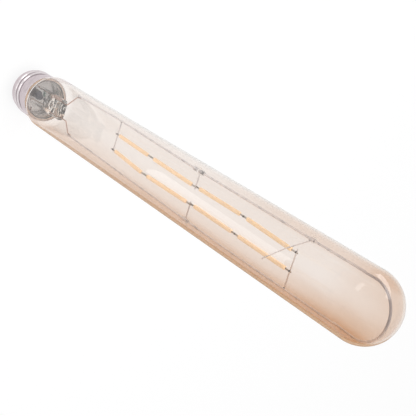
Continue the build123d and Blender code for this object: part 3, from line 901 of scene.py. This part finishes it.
LONG_WIRE = [
    (10.2, 57.5, 0), (13.0, 200.0, 60.0), (13.1, 297.5, 11.75), (-10.9, 297.5, 11.75), (-11.0, 173.6, 0),
]
SHORT_WIRE = [(-11.9, 57.5, 0), (-12.2, 100.0, 60.0), (-11.0, 172.4, 0)]
JOINT_Z = (103.4, 138.8, 174.2, 209.6, 245.0)
WIRES = {
    "frame_wire_long": ("frame_wire", "frame_metal", [(x, 0.0, z, bend) for x, z, bend in LONG_WIRE]),
    "frame_wire_short": ("frame_wire", "frame_metal", [(x, 0.0, z, bend) for x, z, bend in SHORT_WIRE]),
    "lead_wire_long": (
        "lead_wire",
        "lead_metal",
        [(4.05, 0.0, 9.5, 0), (4.05, 0.0, 52.5, 1.4), (9.4, 0.0, 57.5, 1.4), (9.46, 0.0, 60.5, 0)],
    ),
    "lead_wire_short": (
        "lead_wire",
        "lead_metal",
        [(-4.05, 0.0, 9.5, 0), (-4.05, 0.0, 49.0, 1.4), (-11.1, 0.0, 57.5, 1.4), (-11.12, 0.0, 60.5, 0)],
    ),
    "cross_wire_start": ("cross_wire", "frame_metal", [(-11.62, 0.25, JOINT_Z[0], 0), (4.1, 0.25, JOINT_Z[0], 0)]),
    "cross_wire_end": ("cross_wire", "frame_metal", [(12.53, 0.3, JOINT_Z[4], 0), (-4.4, 0.3, JOINT_Z[4], 0)]),
    "support_wire_a": ("cross_wire", "frame_metal", [(-10.2, 0.0, JOINT_Z[2], 0), (-2.6, 0.0, JOINT_Z[2], 0)]),
    "support_wire_b": ("cross_wire", "frame_metal", [(11.69, 0.0, JOINT_Z[2], 0), (3.2, 0.0, JOINT_Z[2], 0)]),
    "brace_wire": (
        "brace_wire",
        "frame_metal",
        [(-10.33, -0.66, 250.56, 0), (-4.32, -7.2, 245.38, 14.0), (1.7, -13.74, 241.8, 0)],
    ),
}


class LAMP_OT_wires(PieceOperator, bpy.types.Operator):
    """Stout frame wires, lead wires, cross wires, support wires and brace"""

    bl_idname = "lamp.wires"
    bl_label = "Wires"

    def execute(self, context):
        sizes = self.sizes(context)
        radii = {
            "frame_wire": sizes.frame_wire,
            "lead_wire": sizes.lead_wire,
            "cross_wire": sizes.cross_wire,
            "brace_wire": sizes.brace_wire,
        }
        for node, (kind, slot, route) in WIRES.items():
            obj = new_object(
                node.replace("wire", "run"), [p[:3] for p in route], [(k, k + 1) for k in range(len(route) - 1)], []
            )
            bend = obj.data.attributes.new("bend", "FLOAT", "POINT")
            bend.data.foreach_set("value", [p[3] * MM for p in route])
            finish = "lead_wire" if kind == "lead_wire" else "frame_wire"
            sides, step = (20, 1.5 * MM) if kind == "frame_wire" else (14, 0.8 * MM)
            grow(obj, "Bent wire", bent_wire_tree, finish, Wire_radius=radii[kind], Sides=sides, Step=step)
            finish_piece(obj, finish, [node])
        return {"FINISHED"}


BEADS = {
    "bead_joint": ((-11.0, 173.6), (-10.9, 297.5), 173.0, 8.2, 3.2),
    "bead_support": ((10.2, 57.5), (13.0, 200.0), 174.2, 4.4, 2.8),
    "bead_brace": ((-11.0, 173.6), (-10.9, 297.5), 251.0, 3.4, 2.4),
}


class LAMP_OT_beads(PieceOperator, bpy.types.Operator):
    """Glass beads melted round the wires"""

    bl_idname = "lamp.beads"
    bl_label = "Glass beads"

    def execute(self, context):
        for node, ((x0, z0), (x1, z1), z, span, diameter) in BEADS.items():
            x = x0 + (x1 - x0) * (z - z0) / (z1 - z0)
            half = span / 2
            profile = [(0.0, -half)]
            for k in range(25):
                along = -cos(pi * k / 24)
                barrel = 0.62 + (diameter / 2 - 0.62) * (1 - abs(along) ** 2.6) ** 0.62
                profile.append((barrel, along * half))
            profile.append((0.0, half))
            bead = turned(node.replace("bead", "glass_bead"), profile, 40, sharp=70)
            for vertex in bead.data.vertices:
                bulge = 1.0 + 0.06 * noise.noise(vertex.co * 500.0 + Vector((z, 0.0, 0.0)))
                vertex.co.x *= bulge
                vertex.co.y *= bulge
            lean = Vector((0, 0, 1)).rotation_difference(Vector((x1 - x0, 0, z1 - z0))).to_matrix().to_4x4()
            bead.data.transform(Matrix.Translation(Vector((x, 0.0, z)) * MM) @ lean)
            finish_piece(bead, "clear_glass", [node])
        return {"FINISHED"}


# Strip ends past and inside each joint, half its width and thickness, and the bare length at each end
TAB_PAST = 1.3
TAB_IN = 2.6
TAB_HALF = 0.4
TAB_THICK = 0.125
COAT_INSET = 2.55
ROW_X = {"a": (-5.3, -5.3, -3.9, -4.0, -3.1), "b": (2.8, 3.5, 4.5, 4.1, 5.0)}
TAB_Y = {
    "a": ((-0.195, -2.425), (-2.175, -0.445), (0.445, 0.525), (0.275, -0.145)),
    "b": ((-0.195, -3.225), (-2.975, -0.445), (0.445, -1.075), (-1.325, -0.145)),
}


class LAMP_OT_filaments(PieceOperator, bpy.types.Operator):
    """Two rows of filaments: metal strips with tabs, each in its yellow coat"""

    bl_idname = "lamp.filaments"
    bl_label = "Filaments"

    def execute(self, context):
        sizes = self.sizes(context)
        for row, xs in ROW_X.items():
            for k in range(4):
                foot = Vector((xs[k], TAB_Y[row][k][0], JOINT_Z[k]))
                head = Vector((xs[k + 1], TAB_Y[row][k][1], JOINT_Z[k + 1]))
                name = f"{row}{k + 1}"
                self.coat(name, foot, head, sizes, 10 * k + (5 if row == "b" else 0))
                self.strip(name, foot, head)
        return {"FINISHED"}

    def coat(self, name, foot, head, sizes, seed):
        """Yellow bar between the tabs."""
        along = Vector((head.x - foot.x, 0.0, head.z - foot.z)).normalized()
        start = foot + along * COAT_INSET
        end = head - along * COAT_INSET
        obj = new_object(f"coat_{name}", [tuple(start)], [], [])
        shape = {"Start": start * MM, "End": end * MM, "Width": sizes.coat_width, "Depth": sizes.coat_depth}
        grow(obj, "Filament coat", filament_coat_tree, "coat", Seed=float(seed + sizes.seed), **shape)
        finish_piece(obj, "coat", [f"filament_{name}"])

    def strip(self, name, foot, head):
        """Flat strip whose ends stand past the joints as tabs."""
        along = Vector((head.x - foot.x, 0.0, head.z - foot.z)).normalized()
        across = Vector((along.z, 0.0, -along.x))
        ends = [foot - along * TAB_PAST, foot + along * TAB_IN, head - along * TAB_IN, head + along * TAB_PAST]
        points = []
        for k, centre in enumerate(ends):
            taper = 0.8 if k in (0, len(ends) - 1) else 1.0
            for side, front in ((-1, -1), (1, -1), (1, 1), (-1, 1)):
                points.append(tuple(centre + across * (side * TAB_HALF * taper) + Vector((0, front * TAB_THICK, 0))))
        faces = [(3, 2, 1, 0)]
        last = 4 * (len(ends) - 1)
        faces.append((last, last + 1, last + 2, last + 3))
        for ring in range(0, last, 4):
            for k in range(4):
                n = (k + 1) % 4
                faces.append((ring + k, ring + n, ring + 4 + n, ring + 4 + k))
        obj = new_object(f"tabs_{name}", points, [], faces)
        edge = obj.modifiers.new("Edge", "BEVEL")
        edge.width = 0.05 * MM
        edge.segments = 2
        edge.limit_method = "ANGLE"
        finish_piece(obj, "strip_metal", [f"strip_{name}"])


class LAMP_OT_welds(PieceOperator, bpy.types.Operator):
    """Spot welds where tabs, thin wires and stout wires meet"""

    bl_idname = "lamp.welds"
    bl_label = "Spot welds"

    def execute(self, context):
        sizes = self.sizes(context)
        spots = [
            (-11.7, 0.1, JOINT_Z[0]), (12.6, 0.15, JOINT_Z[4]), (9.75, 0.0, 58.4), (9.77, 0.0, 59.7),
            (-11.45, 0.0, 58.4), (-11.46, 0.0, 59.7),
        ]
        for row, xs in ROW_X.items():
            for k, z in enumerate(JOINT_Z):
                front = TAB_Y[row][min(k, 3)][0 if k < 4 else 1]
                spots.append((xs[k], front, z))
        obj = new_object("spot_welds", spots, [], [])
        grow(obj, "Metal spots", spots_tree, "weld", Spot_radius=sizes.weld_radius, Flatness=0.85, Seed=sizes.seed)
        finish_piece(obj, "weld", [])
        return {"FINISHED"}


class LAMP_OT_driver(PieceOperator, bpy.types.Operator):
    """Driver board and its parts inside the cap"""

    bl_idname = "lamp.driver"
    bl_label = "Driver"

    def execute(self, context):
        radius, foot, top = turned_size("smoothing_capacitor")
        can = rounded(
            [
                (0.0, foot, 0), (radius, foot, 0.2), (radius, foot + 0.7, 0.2),
                (radius - 0.28, foot + 0.9, 0.1), (radius, foot + 1.1, 0.2), (radius, top, 0.35),
                (radius - 0.7, top, 0.1), (radius - 0.8, top - 0.12, 0.08), (0.0, top - 0.12, 0),
            ],
            5,
        )
        capacitor = turned("capacitor_can", can, 56, sharp=60)
        finish_piece(capacitor, "sleeve", ["smoothing_capacitor"])
        finishes = {
            "driver_board": "board",
            "driver_chip": "chip",
            "bridge_rectifier": "chip",
            "fuse_resistor": "resistor",
            "live_wire": "lead_wire",
            "neutral_wire": "lead_wire",
        }
        for node, finish in finishes.items():
            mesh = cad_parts[node].data
            mesh.materials.clear()
            mesh.materials.append(finish_of(finish))
        spots = [(4.05, 0.0, 10.55), (-4.05, 0.0, 10.55), (8.6, 0.0, 10.75), (0.0, 0.0, 9.45)]
        spots += [(side * 2.4, 7.3, 10.6) for side in (-1, 1)]
        obj = new_object("board_solder", spots, [], [])
        grow(obj, "Metal spots", spots_tree, "solder", Spot_radius=0.62 * MM, Flatness=0.55, Seed=3)
        finish_piece(obj, "solder", [])
        return {"FINISHED"}


# Stage: share of the floor that glows to the eye, light from the sky, and the photograph's camera
FLOOR_GLOW = 0.88
SKY_LIGHT = (0.75, 0.75, 0.76)
CAMERA_LENS = 82.2
CAMERA_PLACE = (-95.5, -266.2, 493.0)
CAMERA_RIGHT = (-0.3013, 0.7653, 0.5688)
CAMERA_BACK = (-0.2320, -0.6375, 0.7347)


def soft_lamp(name, place, target, width, height, glow, roll=0.0):
    """Rectangular softbox aimed at a point, its glow given as the brightness of its face."""
    data = bpy.data.lights.new(name, "AREA")
    data.shape = "RECTANGLE"
    data.size = width
    data.size_y = height
    data.energy = glow * pi * width * height
    obj = bpy.data.objects.new(name, data)
    bpy.context.scene.collection.objects.link(obj)
    obj.location = place
    aimed = (Vector(target) - Vector(place)).to_track_quat("-Z", "Y")
    obj.rotation_euler = (aimed @ Quaternion((0.0, 0.0, 1.0), radians(roll))).to_euler()
    obj.visible_transmission = False
    return obj


def card(name, points, faces, shade):
    """Card of one fixed glowing colour that only reflections show; it paints shade into the lamp's reflections."""
    obj = new_object(name, points, [], faces)
    material = bpy.data.materials.new(name)
    material.use_nodes = True
    graph = Graph(material.node_tree)
    face = graph.node("ShaderNodeEmission")
    face.inputs["Color"].default_value = rgba(shade)
    graph.show(face.outputs[0])
    obj.data.materials.append(material)
    for kind in ("camera", "diffuse", "transmission", "shadow", "volume_scatter"):
        setattr(obj, f"visible_{kind}", False)


def flag(name, reach, arc, rise, shade, lid=False):
    """Card of painted shade round the lamp: part of an upright tube, or a flat disc."""
    steps = [radians(arc[0] + (arc[1] - arc[0]) * k / 24) for k in range(25)]
    low = [(reach * cos(a), reach * sin(a), rise[0]) for a in steps]
    if lid:
        points = [(0.0, 0.0, rise[1])] + [(x, y, rise[1]) for x, y, _ in low]
        faces = [(0, k + 1, k + 2) for k in range(24)]
    else:
        points = low + [(x, y, rise[1]) for x, y, _ in low]
        faces = [(k, k + 1, k + 26, k + 25) for k in range(24)]
    card(name, points, faces, shade)


def white_to_eye(graph):
    """1 for rays that show the background: straight, mirrored or through glass."""
    path = graph.node("ShaderNodeLightPath")
    seen = graph.sum("MAXIMUM", path.outputs["Is Camera Ray"], path.outputs["Is Glossy Ray"])
    return graph.sum("MAXIMUM", seen, path.outputs["Is Transmission Ray"])


class LAMP_OT_stage(PieceOperator, bpy.types.Operator):
    """Pale floor, soft light and the camera at the photograph's angle"""

    bl_idname = "lamp.stage"
    bl_label = "Stage"

    def execute(self, context):
        scene = context.scene
        corners = [(x, y, -0.05) for x, y in ((-1600, -1600), (1600, -1600), (1600, 1600), (-1600, 1600))]
        floor = new_object("floor", corners, [], [(0, 1, 2, 3)])
        material, graph, shader = shaded("pale_floor", 0.7, Base_Color=rgba(scene.lamp_finish.floor))
        lit = graph.node("ShaderNodeEmission")
        lit.inputs["Color"].default_value = (0.98, 0.98, 0.98, 1.0)
        above = graph.blended(graph.times(white_to_eye(graph), FLOOR_GLOW), shader.outputs[0], lit.outputs[0])
        below = graph.node("ShaderNodeBsdfTransparent").outputs[0]
        graph.show(graph.blended(graph.node("ShaderNodeNewGeometry").outputs["Backfacing"], above, below))
        floor.data.materials.append(material)

        world = bpy.data.worlds.new("studio")
        world.use_nodes = True
        scene.world = world
        graph = Graph(world.node_tree)
        sky = world.node_tree.nodes["Background"]
        graph.put(sky.inputs["Color"], graph.mixed(white_to_eye(graph), rgba(SKY_LIGHT), (1.0, 1.0, 1.0, 1.0)))

        # Painted shade in reflections: the brown cards stand in for the lamp's golden shadow beside the tube, and
        # the grey disc darkens what the cap's thread reflects.
        painted_shadow_brown = (0.6, 0.42, 0.3)
        flag("edge_painted_shadow", 60.0, (2.0, 60.0), (0.0, 290.0), painted_shadow_brown)
        flag("edge_painted_shadow_foot", 62.0, (2.0, 60.0), (0.0, 0.6), painted_shadow_brown, lid=True)
        flag("cap_painted_shade", 36.0, (-180.0, 180.0), (0.0, 0.5), (0.82, 0.77, 0.79), lid=True)
        soft_lamp("key_softbox", (-0.015, -0.108, 0.104), (0.0, 0.0, 0.104), 0.054, 0.134, 1.5, roll=-8.0)
        soft_lamp("rim_strip", (-0.647, -0.47, 0.2), (0.0, 0.0, 0.02), 0.36, 0.2, 1.9)
        soft_lamp("window", (-0.353, 0.188, 0.385), (0.0, 0.0, 0.285), 0.12, 0.5, 3.0)
        for name, place, width, glow in (
            ("top_softbox", (-0.5, -0.3, 0.9), 0.6, 1.6), ("overhead", (0.0, 0.0, 0.9), 0.3, 13.0),
        ):
            fill = soft_lamp(name, place, (0.0, 0.0, 0.15), width, width, glow)
            fill.visible_glossy = False

        data = bpy.data.cameras.new("camera")
        data.lens = CAMERA_LENS
        data.sensor_width = 36.0
        data.clip_start = 0.01
        data.clip_end = 20.0
        camera = bpy.data.objects.new("camera", data)
        scene.collection.objects.link(camera)
        right = Vector(CAMERA_RIGHT).normalized()
        back = Vector(CAMERA_BACK).normalized()
        up = back.cross(right)
        turn = Matrix((right, up, back)).transposed().to_4x4()
        camera.matrix_world = Matrix.Translation(Vector(CAMERA_PLACE) * MM) @ turn
        scene.camera = camera
        scene.view_settings.view_transform = "Standard"
        return {"FINISHED"}


STEPS = (
    LAMP_OT_envelope,
    LAMP_OT_stem,
    LAMP_OT_cap,
    LAMP_OT_cap_end,
    LAMP_OT_wires,
    LAMP_OT_beads,
    LAMP_OT_filaments,
    LAMP_OT_welds,
    LAMP_OT_driver,
    LAMP_OT_stage,
)


class LAMP_PT_panel(bpy.types.Panel):
    """Lists the lamp's pieces and the sizes and colours they take"""

    bl_label = "Filament lamp"
    bl_idname = "LAMP_PT_panel"
    bl_space_type = "VIEW_3D"
    bl_region_type = "UI"
    bl_category = "Lamp"

    def draw(self, context):
        layout = self.layout
        for step in STEPS:
            layout.operator(step.bl_idname)
        for group in (context.scene.lamp_sizes, context.scene.lamp_finish):
            column = layout.column()
            for name in type(group).__annotations__:
                column.prop(group, name)


CLASSES = (LampSizes, LampFinish, *STEPS, LAMP_PT_panel)


def register():
    """Registers the classes and the scene's settings."""
    for cls in CLASSES:
        bpy.utils.register_class(cls)
    bpy.types.Scene.lamp_sizes = PointerProperty(type=LampSizes)
    bpy.types.Scene.lamp_finish = PointerProperty(type=LampFinish)


def unregister():
    """Takes the settings and classes out again."""
    del bpy.types.Scene.lamp_finish
    del bpy.types.Scene.lamp_sizes
    for cls in reversed(CLASSES):
        bpy.utils.unregister_class(cls)


def main():
    """Builds every piece in order."""
    register()
    for step in STEPS:
        group, name = step.bl_idname.split(".")
        getattr(getattr(bpy.ops, group), name)()


if __name__ == "__main__":
    main()
